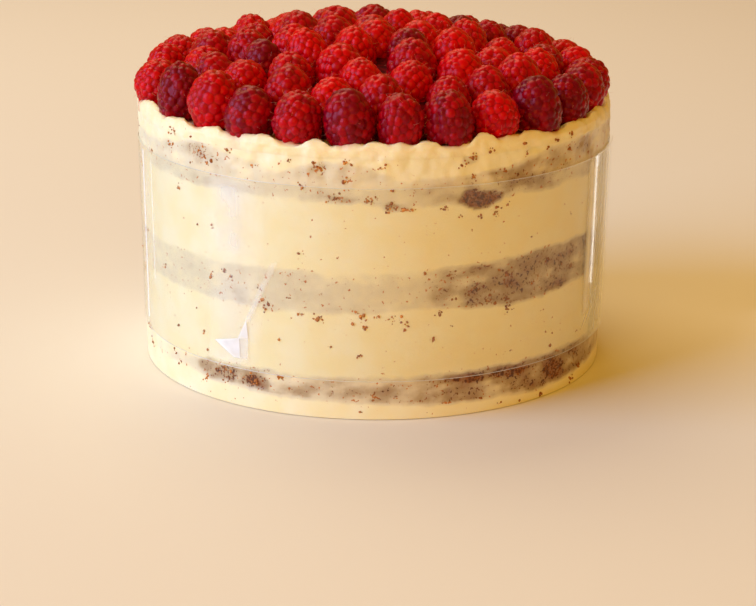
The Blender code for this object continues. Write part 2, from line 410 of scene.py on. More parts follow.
# %% [markdown]
# ## Where the sponge shows through
# A baker scrapes the coat until it is thinner than a crumb over each sponge, so the side has pale bands
# of cream and greyish veiled bands, with a few bare brown patches. The veil isn't paint: it is how much
# cream is left. So one function of azimuth and height gives a bareness from 0 to 1, and both the relief
# of the coat and its colour are worked out from it. Each band is thinner on one side than on the other.

# %% Bands and patches of thin cream
# Each band: its lower and its upper edge, as (azimuth, height in mm), and its (azimuth, bareness)
THIN_BANDS = (
    (
        ((-180, 7), (-60, 10), (-40, 8), (0, 6.5), (45, 4.5), (75, 6), (130, 8)),
        ((-180, 18), (-60, 16), (-30, 18), (30, 19.2), (60, 19), (130, 17)),
        ((-180, 0.55), (-120, 0.3), (-80, 0.16), (-50, 0.2), (-42, 0.5), (-32, 0.62), (-20, 0.5),
         (-8, 0.46), (8, 0.44), (16, 0.64), (32, 0.76), (58, 0.74), (72, 0.42), (110, 0.6), (150, 0.34)),
    ),
    (
        ((-180, 44), (-60, 44), (-20, 43), (12, 46), (35, 44), (60, 46), (120, 43)),
        ((-180, 64), (-60, 61), (-10, 62), (16, 63), (45, 66), (60, 65), (120, 62)),
        ((-180, 0.5), (-130, 0.4), (-90, 0.2), (-50, 0.24), (-34, 0.34), (-10, 0.32), (4, 0.22),
         (11, 0.3), (18, 0.60), (45, 0.70), (62, 0.70), (85, 0.4), (120, 0.52), (150, 0.3)),
    ),
    (
        ((-180, 89), (-60, 90), (-10, 90), (10, 88), (35, 89.5), (60, 90), (120, 89)),
        ((-180, 104), (-60, 104), (-44, 109), (-22, 103), (-6, 108), (8, 100), (30, 102), (42, 106),
         (60, 109), (76, 108), (120, 105)),
        ((-180, 0.42), (-130, 0.3), (-90, 0.16), (-60, 0.3), (-44, 0.42), (-30, 0.26), (-20, 0.28),
         (-6, 0.38), (6, 0.2), (14, 0.50), (34, 0.56), (60, 0.46), (100, 0.26), (140, 0.44)),
    ),
)
# Bare patches: azimuth, then height, half width and half height in mm, strength
BARE_PATCHES = (
    (-36, 12.8, 6.5, 3.8, 0.36), (-28, 12.4, 7.5, 3.4, 0.26), (-44, 13.4, 4.0, 3.0, 0.16),
    (25, 90.0, 10.0, 3.4, 1.3), (22, 93.0, 4.0, 2.0, 0.5), (5, 88.6, 6.0, 2.2, 0.34),
    (-46, 104.5, 12.0, 4.0, 0.12), (-37, 100.5, 6.0, 4.0, 0.10), (-12, 104.8, 5.0, 3.0, 0.12),
    (-6, 91.5, 8.0, 2.2, 0.14), (22, 107.0, 4.5, 2.6, 0.30), (-32, 48.0, 6.0, 4.5, 0.16),
    (30, 15.5, 26.0, 2.2, 0.42), (50, 11.0, 10.0, 5.0, 0.24), (40, 8.5, 6.0, 3.0, 0.20),
    (28, 47.0, 6.0, 3.2, 0.12), (120, 12.0, 12.0, 4.0, 0.30), (165, 52.0, 14.0, 5.0, 0.22),
    (-150, 95.0, 12.0, 4.0, 0.30), (-165, 13.0, 16.0, 3.5, 0.28), (-110, 53.0, 9.0, 4.0, 0.24),
)


EDGE_WAVER = 1.2


def round_the_cake(azimuth, keys):
    """A value given at some azimuths, run evenly between them all the way round."""
    places, values = zip(*keys)
    return np.interp(azimuth, places, values, period=360)


def bareness(points):
    """How little cream covers each point of the side: 0 where it is thick, 1 where it is gone."""
    azimuth, _, z = round_places(points)
    height = z / MM
    ragged = 0.9 * lumps(points, 0.011, 3, (1, 1, 1.6)) + 0.35 * lumps(points, 0.003, 2, shift=7)
    bare = np.zeros(len(points))
    for lower, upper, strength in THIN_BANDS:
        bottom = round_the_cake(azimuth, lower) + EDGE_WAVER * ragged
        top = round_the_cake(azimuth, upper) + EDGE_WAVER * ragged
        inside = soft_step(-1.5, 2.0, height - bottom) * soft_step(-1.5, 2.4, top - height)
        bare = np.maximum(bare, inside * round_the_cake(azimuth, strength))
    uneven = lumps(points, 0.010, 4, (0.7, 0.7, 1.4), shift=3)
    bare = bare * np.clip(1 + 0.60 * uneven, 0.25, 1.6)
    for patch_azimuth, patch_height, half_width, half_height, strength in BARE_PATCHES:
        aside = np.radians(wrap(azimuth - patch_azimuth)) * side_radius(0) / MM / half_width
        above = (height - patch_height) / half_height
        away = np.hypot(aside, above) + 0.35 * ragged
        bare = bare + strength * (1 - soft_step(0.45, 1.15, away))
    return np.clip(bare, 0, 1)


print(len(THIN_BANDS), "thin bands and", len(BARE_PATCHES), "bare patches")

# %% [markdown]
# ## Where crumbs gather
# The knife drags crumbs out of the sponge and leaves them in the cream, mostly where a veil begins. Each
# group is told by its middle, its spread and its number. The list is used twice: the coat's finish takes
# a stain of half-drowned crumbs from it, and later loose crumbs are laid on the same places.

# %% Groups of crumbs
# Each group: azimuth, height in mm, how far it spreads in mm, how many crumbs
CRUMB_GROUPS = (
    (-54, 109.0, 2.6, 12), (-55, 103.0, 1.8, 7), (-66, 96.0, 1.6, 6), (-52.5, 86.5, 1.3, 5),
    (-28, 102.0, 1.0, 3), (-43, 104.0, 5.5, 14), (-34.5, 107.0, 1.3, 5), (-12.5, 105.0, 2.2, 9),
    (-19, 106.0, 1.6, 4), (-5.5, 99.5, 1.4, 5), (-6, 107.0, 1.4, 5), (-16.5, 96.5, 1.6, 5),
    (-9, 92.0, 3.4, 9), (-0.8, 92.0, 2.0, 9), (-40, 73.5, 0.9, 3), (-45, 73.0, 0.4, 1),
    (-16.5, 68.6, 0.5, 2), (-8, 68.4, 0.5, 2), (-59.5, 49.5, 1.3, 5), (-37, 57.0, 0.9, 3),
    (-40.5, 54.0, 1.3, 5), (-35, 54.5, 1.2, 3), (-27, 52.0, 0.7, 3), (-19.5, 49.8, 0.9, 3),
    (-25, 47.5, 2.2, 8), (-25.5, 43.3, 1.6, 4), (-16.5, 43.4, 1.5, 10), (-12.5, 42.6, 2.0, 13),
    (-2.5, 43.5, 2.6, 9), (-2, 39.3, 1.0, 5), (-46, 36.6, 0.5, 1), (-44, 28.0, 0.7, 2),
    (-54, 27.0, 0.7, 1), (-22.5, 31.5, 0.9, 2), (-10, 31.0, 0.9, 2), (-2.8, 27.2, 1.0, 5),
    (-42.5, 20.7, 0.4, 1), (-56, 14.5, 1.3, 4), (-53.8, 10.2, 1.0, 4), (-44, 7.5, 1.6, 6),
    (-22, 15.5, 1.5, 6), (-37, 9.0, 1.2, 3), (-37, 13.0, 4.0, 14), (-29, 12.0, 4.2, 14),
    (-2.5, 3.4, 0.7, 3), (2, 105.0, 1.8, 7),
    (4, 95.5, 0.7, 2), (3.8, 88.6, 2.0, 12), (7.4, 87.6, 2.0, 12), (16.5, 88.0, 1.8, 6),
    (19.7, 84.0, 0.9, 3), (24.6, 83.0, 1.1, 6), (29.4, 84.2, 2.0, 10), (32, 86.4, 0.9, 4),
    (27, 109.5, 1.1, 6), (22.6, 107.4, 2.0, 11), (20.5, 104.0, 1.9, 6), (23, 99.3, 1.4, 6),
    (31, 101.4, 1.3, 5), (34.5, 97.5, 0.7, 2), (37, 106.6, 0.9, 4), (46, 109.5, 1.1, 5),
    (52, 109.8, 2.2, 7), (43.5, 107.0, 0.7, 3), (51.5, 104.0, 1.0, 3), (36, 112.5, 0.9, 3),
    (23, 78.0, 0.5, 2), (53.5, 76.0, 0.7, 2), (39.5, 71.2, 0.5, 1), (11.7, 61.2, 0.7, 2),
    (18, 60.2, 1.4, 6), (45, 59.2, 0.9, 4), (50.5, 55.6, 0.7, 2), (32.5, 57.0, 3.0, 10),
    (54.5, 53.2, 1.6, 6), (24, 53.5, 2.6, 7), (40.5, 51.4, 0.9, 4), (18.5, 49.8, 0.9, 3),
    (15.4, 44.4, 1.5, 8), (27.5, 47.6, 1.8, 12), (32.5, 47.0, 1.5, 8), (33, 42.6, 2.2, 12),
    (4.6, 42.2, 2.0, 12), (7.5, 40.2, 1.5, 7), (1, 43.6, 1.2, 5), (18.2, 38.8, 0.7, 2),
    (14, 33.6, 0.9, 4), (43.7, 38.2, 0.9, 2), (45.5, 28.6, 0.5, 2), (48, 27.0, 0.5, 2),
    (34.5, 24.2, 0.7, 2), (47.3, 21.3, 1.0, 5), (59, 23.2, 0.7, 2), (26.3, 6.0, 0.7, 3),
    (37.5, 1.8, 0.7, 2), (44.5, 1.7, 1.3, 6), (57.5, 2.2, 2.2, 9), (61.5, 6.0, 0.9, 3),
    (31.8, 2.4, 0.9, 2), (12.7, 2.4, 0.9, 1), (16.8, 5.8, 0.5, 1),
)
BACK_GROUPS = 90
BACK_LEVELS = (10, 16, 43, 46, 54, 63, 88, 92, 104)


def all_crumb_groups():
    """The groups at the front, which are listed one by one, and chance ones behind."""
    draw = random.Random(7)
    groups = list(CRUMB_GROUPS)
    for _ in range(BACK_GROUPS):
        level = draw.choice((*BACK_LEVELS, draw.uniform(20, 108)))
        groups.append((draw.uniform(72, 290), level + draw.gauss(0, 1.5), 1.6, draw.randint(1, 9)))
    return groups


crumb_groups = all_crumb_groups()


STAIN_FLATNESS = 1.4


def crumb_stain(points):
    """How thickly crumbs have gathered round each point, from 0 to 1; a stain is wider than high."""
    azimuth, _, z = round_places(points)
    stain = np.zeros(len(points))
    for middle, height, spread, count in crumb_groups:
        aside = np.radians(wrap(azimuth - middle)) * side_radius(0) / MM
        away = np.hypot(aside, (z / MM - height) * STAIN_FLATNESS) / (0.5 + 0.8 * spread)
        thick = min(1, 0.25 + count / spread ** 2 / 3)
        stain = np.maximum(stain, np.exp(-away * away) * thick)
    return stain


print(len(crumb_groups), "groups of crumbs")

# %% [markdown]
# ## The scraped coat
# The coat is a shell about a millimetre thick. It could be a plain cylinder with a bumpy finish, but the
# bare patches are real hollows, the scraper leaves long level ridges, and above the film the cream is
# rougher. So its outside is a fine grid of real points, about one to each millimetre, each moved in or
# out by the bareness and by lumps that are stretched along the scraper's way.

# %% Turn the coat and give it its relief
def rough_relief(points):
    """The lumps of cream that no scraper has smoothed, in metres."""
    return MM * (0.60 * lumps(points, 0.007, 3, shift=9) + 0.24 * lumps(points, 0.0026, 2, shift=4))


COAT_STEPS = 600
COAT_ROWS = 104
coat_bottom = GAP
coat_top = coat_high.z + GAP / 2
outside = [
    (side_radius(z), z) for z in np.linspace(coat_bottom, coat_top, COAT_ROWS)
]
inside = [(side_radius(z) - COAT_THICKNESS, z) for z in (coat_top, coat_bottom)]
coat = turned("scraped_coat", outside + inside, COAT_STEPS)

coat_points = points_of(coat)
_, coat_radius, coat_z = round_places(coat_points)
on_outside = coat_radius > side_radius(coat_z) - COAT_THICKNESS / 2
coat_bare = bareness(coat_points)
open_air = soft_step(film_high - 0.001, film_high + 0.002, coat_z)
ridges = lumps(coat_points, 0.010, 3, (0.25, 0.25, 3.0), shift=11)
crumbly = lumps(coat_points, 0.0022, 3, shift=5)
waves = lumps(coat_points, 0.030, 2, shift=20)
relief = open_air * rough_relief(coat_points) + MM * (
    -0.10
    + 0.08 * ridges * (1 - coat_bare)
    + 0.10 * waves
    - 0.55 * soft_step(0.35, 0.9, coat_bare)
    + 0.40 * crumbly * soft_step(0.4, 0.8, coat_bare)
)
limit = np.where(open_air > 0.5, 0.55 * MM, 0.12 * MM)
new_radius = np.where(on_outside, coat_radius + np.minimum(relief, limit), coat_radius)
move_points(coat, with_radius(coat_points, new_radius))
store(coat, "bare", np.where(on_outside, coat_bare, 0))
store(coat, "stain", crumb_stain(coat_points))
bpy.ops.object.shade_smooth_by_angle(angle=math.radians(50))
print("scraped coat:", len(coat.data.polygons), "faces, barest", round(float(coat_bare.max()), 2))

# %% [markdown]
# ## The finish of the coat
# Thick cream is pale yellow. Where it gets thin it turns greyish beige, because the brown sponge shows
# through it. Crumbs come out as grains: fine noise, the bareness and the stain are added up, and where
# the sum passes a limit there is a crumb. So a thin veil has few grains, a bare patch is nearly all
# crumb, and every edge is ragged at the size of crumbs and not of the mesh. Light enters cream a little
# way, which keeps its shadows warm, so the shader gets some subsurface scattering.


# %% Cream, veil and crumb by bareness
CREAM_DEPTH = {"Subsurface_Radius": (1.0, 0.62, 0.28), "Subsurface_Scale": 0.003}
TOASTED = (colour(182, 100, 30), colour(232, 160, 80))


def scraped_finish():
    finish, shader, place = new_finish("scraped_cream_veil")
    bare = place.attribute("bare")
    stain = place.attribute("stain")
    drift = place.clouds(0.014, 3)
    mottle = place.clouds(0.0045, 4)
    gathered = place.clouds(0.007, 2)
    pores = place.clouds(0.0013, 3)
    fine = place.clouds(0.0008, 2)
    depth = bare + (mottle - 0.5) * 0.5 * (0.2 + bare)
    cream = drift.step(0.3, 0.7).mix(colour(252, 233, 183), colour(253, 239, 201))
    pale = depth.step(0.06, 0.34).mix(cream, colour(228, 213, 180))
    veil = depth.step(0.30, 0.70).mix(pale, colour(176, 150, 114))
    veil = depth.step(0.62, 1.10).mix(veil, colour(142, 88, 48))
    grains = pores + 0.26 * depth + 0.26 * stain
    grains = grains + 0.3 * (gathered - 0.5) + 0.14 * depth.step(0.8, 1.1)
    see = grains.step(0.78, 0.87)
    dark = fine.step(0.38, 0.62).mix(colour(88, 46, 18), colour(150, 88, 38))
    dark = depth.step(0.20, 0.75).mix(colour(184, 132, 88), dark)
    toast = fine.mix(*TOASTED)
    crumb = (stain - 1.6 * bare).step(-0.2, 0.4).mix(dark, toast)
    dots = (place.clouds(0.0017, 2) + 0.16 * bare).step(0.71, 0.76)
    speck = fine.mix(colour(176, 92, 34), colour(214, 140, 66))
    speck = depth.step(0.45, 0.75).mix(speck, colour(92, 50, 22))
    feed(
        shader,
        Base_Color=dots.mix(see.mix(veil, crumb), speck),
        Roughness=0.40 + 0.35 * see,
        Normal=place.bump(0.25 * mottle + fine * (0.10 + 0.7 * see) - 0.6 * see, 0.5, 0.0006),
        Subsurface_Weight=0.2,
        **CREAM_DEPTH,
    )
    return finish


coat.data.materials.append(scraped_finish())
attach(coat, "root")
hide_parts("cream_coat")
print("scraped coat finished")

# %% [markdown]
# ## Where the raspberries stand
# The berries stand in rings, tips up, each a little uneven in place, size and lean. The solid heap was
# made by the same rule with the same seed, so the rule is repeated here and every berry lands on its
# own solid. Berries that would press into each other are pushed apart, and the outer ring is held.

# %% The rule that places the berries
# Each front berry: azimuth, distance from the middle, radius and height, in degrees and mm
FRONT_BERRIES = (
    (-80.5, 92.0, 9.7, 17.5),
    (-61.0, 90.5, 9.2, 21.5),
    (-46.0, 89.0, 10.2, 21.5),
    (-32.8, 91.0, 10.0, 19.0),
    (-19.2, 90.5, 9.5, 19.0),
    (-6.2, 90.5, 10.2, 21.0),
    (6.4, 91.0, 9.0, 19.5),
    (18.7, 91.0, 9.7, 20.0),
    (31.8, 90.5, 9.2, 18.0),
    (46.0, 90.5, 10.0, 21.0),
    (60.0, 90.5, 8.8, 18.5),
    (72.6, 90.5, 9.4, 18.5),
    (86.5, 90.5, 9.4, 17.5),
)
BACK_COUNT = 13
BACK_SPAN = (100.5, 264.0)
BACK_REACH = 0.0900
BACK_RADIUS = (0.0086, 0.0096)
BACK_HEIGHT = (0.0155, 0.0185)
BERRY_RINGS = ((0.0720, 21), (0.0535, 15), (0.0355, 10), (0.0178, 5), (0.0, 1))
BERRY_SEED = 10854
BERRY_RADIUS = (0.0088, 0.0099)
BERRY_HEIGHT = (0.0185, 0.0220)
BERRY_TILT = math.radians(11)
MOUND_RISE = 0.0120
MOUND_RADIUS = 0.0905
BERRY_WIDEST = 0.42
# Below its widest level a berry is an ellipse, as high as that level over this number
BERRY_FOOT = 0.6
BERRY_STRAY = 0.0015
BERRY_KNOB = 0.05
BERRY_LIFT = 0.0006
SETTLE_ROUNDS = 80


class Berry:
    """Where one raspberry stands, how large it is and how it leans."""

    def __init__(self, place, radius, height, lean, spin):
        self.place = place
        self.radius = radius
        self.height = height
        self.lean = lean
        self.spin = spin


def level_place(azimuth, reach):
    """The point of the plan at this azimuth in degrees and this distance from the middle."""
    turn = math.radians(azimuth)
    return Vector((reach * math.sin(turn), -reach * math.cos(turn)))


def mound(distance):
    """How far the heap of berries has risen at this distance from the cake's middle."""
    return MOUND_RISE * max(0.0, 1 - (distance / MOUND_RADIUS) ** 2) ** 1.5


def drawn_berry(draw, azimuth, reach, radii, heights):
    """A berry at this azimuth, uneven in its distance, size, lean and turn."""
    reach += draw.uniform(-BERRY_STRAY, BERRY_STRAY)
    return Berry(
        level_place(azimuth, reach),
        draw.uniform(*radii),
        draw.uniform(*heights),
        (draw.uniform(0, math.tau), draw.uniform(0, BERRY_TILT)),
        draw.uniform(0, math.tau),
    )


def raspberry_places():
    """The front berries, then rings of uneven ones, pushed apart and trimmed until no two touch."""
    draw = random.Random(BERRY_SEED)
    placed = [
        Berry(
            level_place(azimuth, reach / 1000),
            radius / 1000,
            height / 1000,
            (number * 2.4, BERRY_TILT * (number % 3) / 4),
            number * 1.7,
        )
        for number, (azimuth, reach, radius, height) in enumerate(FRONT_BERRIES)
    ]
    first, last = BACK_SPAN
    for k in range(BACK_COUNT):
        azimuth = first + (last - first) * k / (BACK_COUNT - 1) + draw.uniform(-1.5, 1.5)
        placed.append(drawn_berry(draw, azimuth, BACK_REACH, BACK_RADIUS, BACK_HEIGHT))
    fixed = set(placed)
    for ring_radius, count in BERRY_RINGS:
        start = draw.uniform(0, 360)
        for k in range(count):
            azimuth = start + (k + draw.uniform(-0.18, 0.18)) * 360 / count
            placed.append(drawn_berry(draw, azimuth, ring_radius, BERRY_RADIUS, BERRY_HEIGHT))
    pairs = [(one, other) for i, one in enumerate(placed) for other in placed[i + 1:]]
    for _ in range(SETTLE_ROUNDS):
        for one, other in pairs:
            apart = other.place - one.place
            short = (one.radius + other.radius) * (1 + BERRY_KNOB) - apart.length
            if short > 0 and other not in fixed:
                push = apart.normalized() * short / 2
                other.place = other.place + push
                if one not in fixed:
                    one.place = one.place - push
    for one, other in pairs:
        room = (other.place - one.place).length - GAP
        share = room / ((one.radius + other.radius) * (1 + BERRY_KNOB))
        if share < 1:
            one.radius *= share
            other.radius *= share
    return placed


berries = raspberry_places()
print(len(berries), "raspberries, the widest", round(max(b.radius for b in berries) * 2000, 1), "mm")

# %% [markdown]
# ## The top cream
# The cream on top was spread flat, and the berries pressed into it until it swelled up between them at
# the rim. Like the coat it is turned first and moved afterwards, and only the rim shows, so only the rim
# has many rows. Its outline leaves the edge on the axis out, so that the spin closes into a solid.

# %% Turn the top cream
TOP_STEPS = 540
RIM_INNER = 0.0935
RIM_TUCK = 0.0004
SHOULDER_WIDTH = 0.0012
SHOULDER_DROP = 0.0006

top_edge = side_radius(top_plane)
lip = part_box("cream_top")[0].z
wall_rows = [
    (side_radius(z), z) for z in np.linspace(coat_top - RIM_TUCK, top_plane - SHOULDER_DROP, 7)
]
shoulder = [
    (
        top_edge - SHOULDER_WIDTH * (1 - math.sin(turn)),
        top_plane - SHOULDER_DROP + SHOULDER_DROP * math.cos(turn),
    )
    for turn in np.linspace(math.pi / 2 - 0.3, 0, 4)
]
across = [(radius, top_plane) for radius in np.linspace(top_edge - 0.0020, RIM_INNER, 11)]
middle = [(radius, top_plane) for radius in (0.088, 0.075, 0.050, 0.025, 0.0)]
under = [(0.0, lip), (side_radius(lip) - COAT_THICKNESS - GAP, lip)]
tucked = [(side_radius(coat_top) - COAT_THICKNESS - GAP, coat_top - RIM_TUCK)]
top_section = under + tucked + wall_rows + shoulder + across + middle
top_cream = turned("top_cream", top_section, TOP_STEPS, open_edge=(0, len(top_section) - 1))
print("top cream:", len(top_cream.data.polygons), "faces")

# %% [markdown]
# ## The swollen rim
# The rim rises by an uneven swell, and it stands up highest in the gaps between the berries. Under each
# berry it is held down, so that the berry stays in sight. Each point's distance to each berry is told
# in radii of that berry. It raises the gaps, holds down the rest, and places the stains of juice, which
# also paint red shade round the foot of each berry.

# %% Let the rim swell between the berries
RIM_RISE = 0.0040
RIM_CREST = 0.0980
BERRY_ROOM = 0.0018

top_points = points_of(top_cream)
top_azimuth, top_radius, top_z = round_places(top_points)
above_coat = top_z > coat_top
on_rim = top_radius > RIM_INNER
distances = [
    np.hypot(top_points[:, 0] - berry.place.x, top_points[:, 1] - berry.place.y) / berry.radius
    for berry in berries
]
nearest = np.min(distances, axis=0)
rise = np.interp(
    top_radius,
    (RIM_INNER, RIM_CREST, top_edge - SHOULDER_WIDTH, top_edge),
    (0, 1, 0.86, 0.30),
)
rise = rise * soft_step(coat_top, top_plane, top_z)
swell = 0.60 + 0.20 * np.sin(np.radians(top_azimuth) * 11 + 1.2)
swell = swell + 0.60 * lumps(top_points * (1, 1, 0), 0.012, 3, shift=2)
peaks = 1.0 + 0.45 * lumps(top_points * (1, 1, 0), 0.025, 2, shift=6)
swell = np.maximum(np.clip(swell, 0.3, 1.5), peaks * soft_step(0.95, 1.30, nearest))
swollen = top_z + RIM_RISE * rise * swell
for berry, away in zip(berries, distances):
    share = BERRY_WIDEST - BERRY_WIDEST / BERRY_FOOT * np.sqrt(np.clip(1 - away * away, 0, 1))
    allowed = top_plane + np.maximum(share, 0) * berry.height + BERRY_ROOM
    swollen = np.where((away < 1.0) & above_coat, np.minimum(swollen, allowed), swollen)
top_points[:, 2] = swollen
print("crest of the rim:", round(float(swollen.max()) / MM, 1), "mm")

# %% Roughen the rim and keep what its finish reads
on_wall = top_radius > side_radius(swollen) - 0.0008
bulge = (on_wall | on_rim & above_coat) * rough_relief(top_points)
outward = soft_step(RIM_CREST, top_edge, top_radius)
new_radius = np.where(on_rim, top_radius + bulge * outward, top_radius)
off_axis = top_radius > 1e-6
top_points[off_axis] = with_radius(top_points[off_axis], new_radius[off_axis])
top_points[:, 2] += np.where(on_rim, bulge * (1 - outward), 0)
move_points(top_cream, top_points)
store(top_cream, "stain", crumb_stain(top_points))
# Juice stain, and painted red shade round the foot of each berry.
store(top_cream, "juice_and_red_shade", 1 - soft_step(0.80, 1.12, nearest))
bpy.ops.object.shade_smooth_by_angle(angle=math.radians(50))
print("lumps on the rim: up to", round(float(bulge.max()) / MM, 2), "mm")

# %% [markdown]
# ## The finish of the top cream
# This cream is thick, so no sponge shows through it. Crumbs lie in it where they have gathered, as in
# the coat, and it is red where a berry sits: partly a juice stain, partly painted shade with red light
# thrown from the berry. Both values were stored on its points.


# %% The finish of the top cream
def top_finish():
    finish, shader, place = new_finish("top_cream_swirl")
    soft = place.clouds(0.008, 4)
    fine = place.clouds(0.0012, 3)
    dots = place.clouds(0.0020, 2).step(0.735, 0.775)
    cream = soft.step(0.3, 0.7).mix(colour(251, 230, 178), colour(253, 237, 195))
    # Red near the berries: juice stain and painted shade.
    cream = (0.75 * place.attribute("juice_and_red_shade")).mix(cream, colour(196, 62, 44))
    grains = place.clouds(0.0016, 3) + 0.30 * place.attribute("stain")
    crumb = fine.mix(*TOASTED)
    feed(
        shader,
        Base_Color=dots.maths("MAXIMUM", dots, grains.step(0.78, 0.87)).mix(cream, crumb),
        Roughness=0.5,
        Normal=place.bump(soft + 0.3 * fine, 0.35, 0.0008),
        Subsurface_Weight=0.25,
        **CREAM_DEPTH,
    )
    return finish


top_cream.data.materials.append(top_finish())
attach(top_cream, "root")
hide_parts("cream_top")
print("top cream finished")

# %% [markdown]
# ## Crumbs on the cream
# Loose crumbs stand proud and throw small shadows, so they are real bits of mesh. There are five small
# balls of twenty faces, each with its points shaken, and every copy is pressed flat by a different
# amount. Those on the right side are made browner as painted shade, for the side away from the window.

# %% Where each crumb lies
CRUMB_SIZE = (0.00024, 0.00075)
CRUMB_LEVELS = (1.0, 110.5)


def crumb_places():
    """Azimuth, height and size of every crumb of every group."""
    draw = random.Random(8)
    lowest, highest = CRUMB_LEVELS
    for azimuth, height, spread, count in crumb_groups:
        for _ in range(count):
            aside = math.degrees(draw.gauss(0, spread) * MM / side_radius(0)) * 0.7
            level = min(max(height + draw.gauss(0, spread) * 0.55, lowest), highest)
            yield azimuth + aside, level * MM, draw.uniform(*CRUMB_SIZE) * draw.uniform(0.6, 1.25)


print("the smallest crumb:", round(min(size for _, _, size in crumb_places()) / MM, 2), "mm")


# %% Helpers that set out many copies
def joined_copies(name, prototypes, placements):
    """One mesh of many copies; each placement is (which prototype, its matrix, its values)."""
    verts, faces, values = [], [], {}
    start = 0
    for which, matrix, extra in placements:
        points, polygons, carried = prototypes[which]
        verts.append(points @ np.array(matrix.to_3x3()).T + np.array(matrix.translation))
        faces.extend([[start + i for i in polygon] for polygon in polygons])
        for key, column in {**carried, **extra}.items():
            values.setdefault(key, []).append(np.broadcast_to(column, len(points)))
        start += len(points)
    mesh = bpy.data.meshes.new(name)
    mesh.from_pydata(np.concatenate(verts), [], faces)
    made = bpy.data.objects.new(name, mesh)
    bpy.context.scene.collection.objects.link(made)
    for key, columns in values.items():
        store(made, key, np.concatenate(columns))
    mesh.polygons.foreach_set("use_smooth", [True] * len(mesh.polygons))
    return made


def taken_apart(piece):
    """A prototype for joined_copies: the piece's points and faces, and the piece is deleted."""
    points = points_of(piece)
    polygons = [list(face.vertices) for face in piece.data.polygons]
    bpy.data.objects.remove(piece)
    return points, polygons, {}


# %% Make the crumbs
CRUMB_KINDS = 5
SHADED_SIDE = (10, 100)


def side_surface(azimuth, z, sheet):
    """The place on the cream nearest to this azimuth and height."""
    turn = math.radians(azimuth)
    wanted = Vector((side_radius(z) * math.sin(turn), -side_radius(z) * math.cos(turn), z))
    return sheet.closest_point_on_mesh(wanted)[1]


def shaken_balls(count, seed):
    """Small uneven lumps of radius 1."""
    draw = random.Random(seed)
    made = []
    for _ in range(count):
        deselect()
        bpy.ops.mesh.primitive_ico_sphere_add(subdivisions=1, radius=1)
        ball = bpy.context.object
        for vert in ball.data.vertices:
            vert.co = vert.co * draw.uniform(0.65, 1.25)
        made.append(taken_apart(ball))
    return made


crumb_draw = random.Random(3)
crumb_placements = []
for azimuth, z, size in crumb_places():
    sheet = coat if z < coat_top else top_cream
    spot = side_surface(azimuth, z, sheet)
    turned_by = Euler([crumb_draw.uniform(0, math.tau) for _ in range(3)]).to_matrix().to_4x4()
    flat = Matrix.Diagonal((size, size, size * crumb_draw.uniform(0.6, 1.0), 1))
    matrix = Matrix.Translation(spot) @ turned_by @ flat
    which, toast = crumb_draw.randrange(CRUMB_KINDS), crumb_draw.random()
    # Crumbs on the right side are browner as painted shade, for the side away from the window.
    if SHADED_SIDE[0] < azimuth < SHADED_SIDE[1]:
        toast = 0.5 + 0.5 * toast
    crumb_placements.append((which, matrix, {"toast": toast}))
crumbs = joined_copies("crumbs", shaken_balls(CRUMB_KINDS, 17), crumb_placements)


def crumb_finish():
    finish, shader, place = new_finish("toasted_crumb")
    toast = place.attribute("toast")
    light = toast.mix(colour(230, 152, 68), colour(132, 70, 26))
    feed(
        shader,
        Base_Color=place.clouds(0.0008, 2).step(0.30, 0.55).mix(colour(154, 84, 32), light),
        Roughness=0.75,
    )
    return finish


crumbs.data.materials.append(crumb_finish())
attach(crumbs, "root")
print(len(crumb_placements), "crumbs,", len(crumbs.data.polygons), "faces")

# %% [markdown]
# ## Raspberries
# A raspberry is a hollow thimble of about ninety drupelets, small round fruits set close like beads. A
# bumpy cone won't do, because up close they are nearly separate. So a few different berries are modelled
# bead by bead over a core, fused by a voxel Remesh, which leaves the creases between them, smoothed a
# little, and thinned by Decimate, which keeps points where the surface bends.

# %% The outline of a berry
BERRY_KINDS = 6


def unit(rows):
    return rows / np.linalg.norm(rows, axis=1, keepdims=True)


class Shape:
    """The outline of one kind of berry, told as how far it reaches in each direction."""

    def __init__(self, draw):
        self.radius = draw.uniform(0.0090, 0.0097)
        self.height = draw.uniform(0.0188, 0.0218)
        self.widest = draw.uniform(0.34, 0.42) * self.height
        self.blunt = draw.uniform(1.80, 2.05)
        self.lean = draw.uniform(-0.05, 0.09)
        self.shift = draw.uniform(0, 10)

    def reach(self, directions):
        """How far the outline is from the berry's middle in these directions."""
        flat = np.hypot(directions[:, 0], directions[:, 1])
        up = directions[:, 2]
        tall = np.where(up > 0, self.height - self.widest, self.widest / BERRY_FOOT)
        power = np.where(up > 0, self.blunt, 2.0)
        away = ((flat / self.radius) ** power + (np.abs(up) / tall) ** power) ** (-1 / power)
        uneven = lumps(directions, 1.3, 2, shift=self.shift)
        return away * (1 + 0.07 * uneven)

    def onto(self, points):
        """These points moved straight out from, or in to, the middle until they are on the outline."""
        directions = unit(points - (0, 0, self.widest))
        return directions * self.reach(directions)[:, None] + (0, 0, self.widest)

    def outward(self, points):
        """The directions that point straight away from the outline."""
        from_middle = points - (0, 0, self.widest)
        tall = np.where(from_middle[:, 2] > 0, self.height - self.widest, self.widest / BERRY_FOOT)
        flat = from_middle[:, :2] / self.radius ** 2
        return unit(np.column_stack((flat, from_middle[:, 2] / tall ** 2)))


# %% Spread the drupelets over a berry
BEAD_COUNT = (84, 95)
BEAD_PITCH = 0.00305
# Heights count for this much of widths, because drupelets are taller than wide
UPRIGHT = 0.84
SPIRAL_SPAN = 1.72
SPREAD_ROUNDS = 70
LOWEST_BEAD = 0.0011


